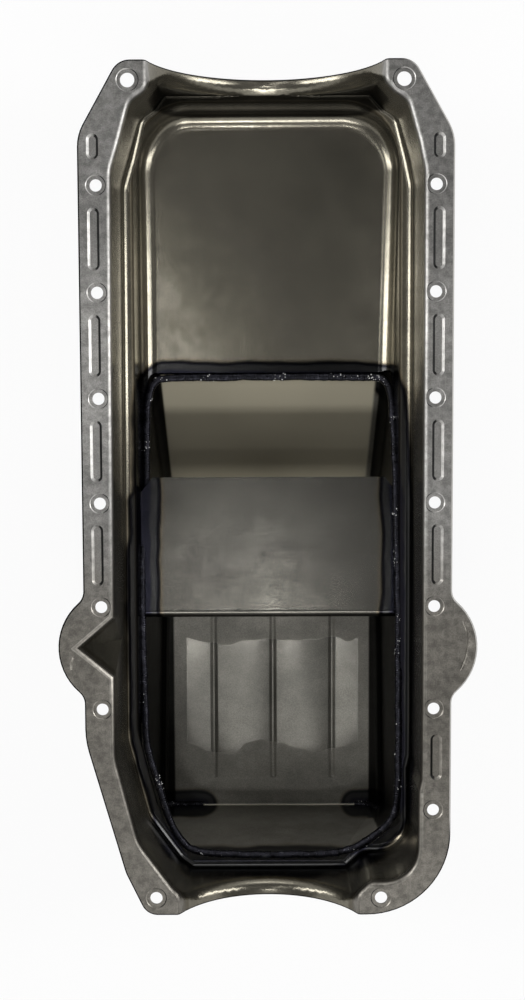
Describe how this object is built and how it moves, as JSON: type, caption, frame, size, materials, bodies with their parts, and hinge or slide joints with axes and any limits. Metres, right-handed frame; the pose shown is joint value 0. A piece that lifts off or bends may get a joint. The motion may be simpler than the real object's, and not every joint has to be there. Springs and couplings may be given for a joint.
{
  "type": "engine oil pan",
  "caption": "Pressed steel oil pan for a vee engine: bolt rail with end seal arches, shallow front tray, deep welded rear sump, cross baffle and side drain plug.",
  "frame": {"origin": "Middle of the rectangle of the first and sixth rail bolt rows, on the gasket face.", "axes": "+Z out of the gasket face, up into the engine; +Y toward the front of the engine; +X to the side that has the seventh rail bolt and the drain."},
  "size_m": [0.2852, 0.5793, 0.2105],
  "materials": {
    "pan_steel": "as-drawn, lightly oiled",
    "sump_steel": "as-rolled, heat tint beside the welds",
    "baffle_steel": "as-rolled, scratched",
    "bung_steel": "turned",
    "washer_metal": "satin",
    "plug_steel": "zinc plated"
  },
  "bodies": {
    "root": {"pan_body": "pan_steel", "sump_box": "sump_steel", "baffle_plate": "baffle_steel", "drain_bung": "bung_steel", "drain_washer": "washer_metal", "drain_plug": "plug_steel"}
  },
  "joints": []
}
